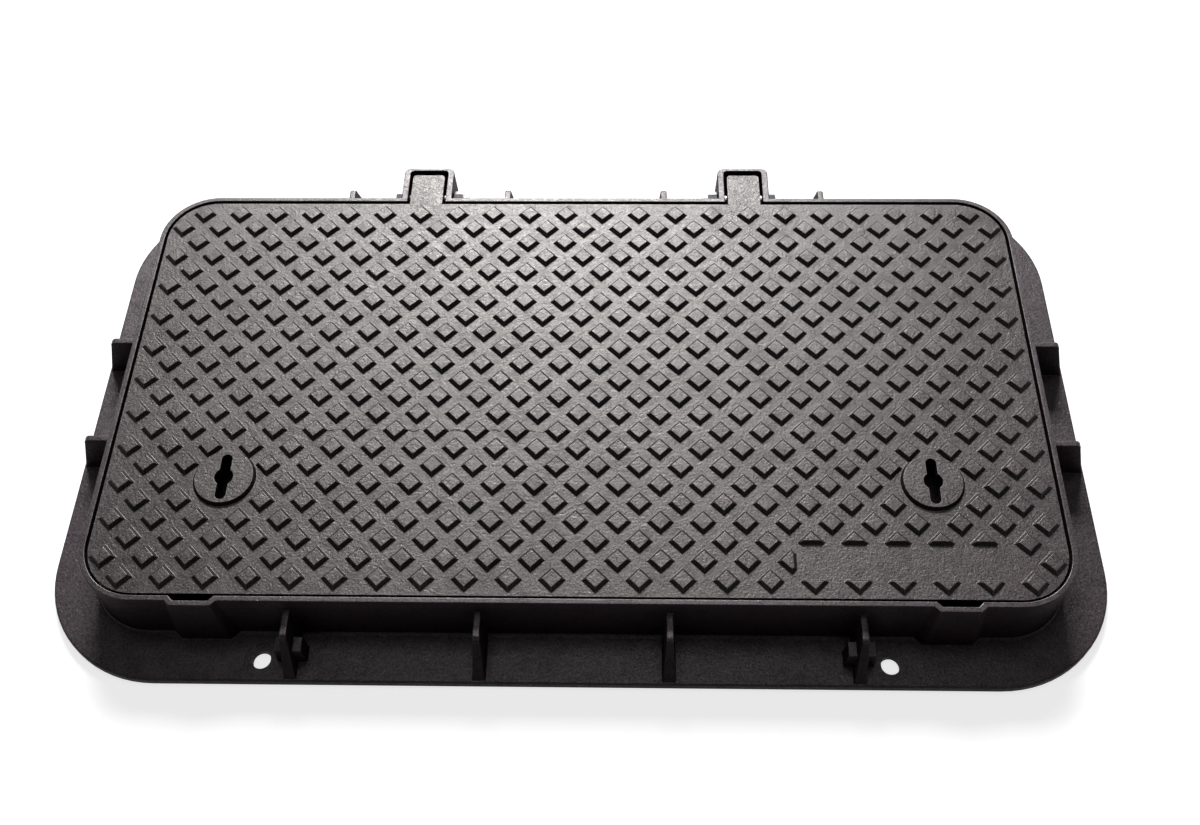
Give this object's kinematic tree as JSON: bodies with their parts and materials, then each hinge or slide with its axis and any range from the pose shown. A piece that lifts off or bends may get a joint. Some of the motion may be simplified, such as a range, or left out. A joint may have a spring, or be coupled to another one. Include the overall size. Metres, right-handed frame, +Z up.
{
  "type": "hinged access cover",
  "caption": "Rectangular cast-iron access cover with a raised diamond tread, keyhole discs and rear hinges, in a flanged bolt-down frame.",
  "frame": {"origin": "centre of the frame's flat underside", "axes": "+X along the hinge side to the right, +Y from the front edge to the hinges at the rear, +Z up out of the ground"},
  "size_m": [1.024, 0.59, 0.079],
  "materials": {
    "cast_iron_frame": "bitumen-painted, sand-cast",
    "cast_iron_cover": "bitumen-painted, sand-cast",
    "zinc_bolt": "zinc-plated",
    "zinc_nut": "zinc-plated"
  },
  "bodies": {
    "frame": {"frame": "cast_iron_frame", "hinge_bolt_left": "zinc_bolt", "hinge_bolt_right": "zinc_bolt", "hinge_nut_left": "zinc_nut", "hinge_nut_right": "zinc_nut"},
    "cover": {"cover": "cast_iron_cover"}
  },
  "joints": [
    {"name": "cover_hinge", "type": "hinge", "parent": "frame", "child": "cover", "pos_m": [0, 0.257, 0.058], "axis": [-1, 0, 0], "range_deg": [0, 98]}
  ]
}
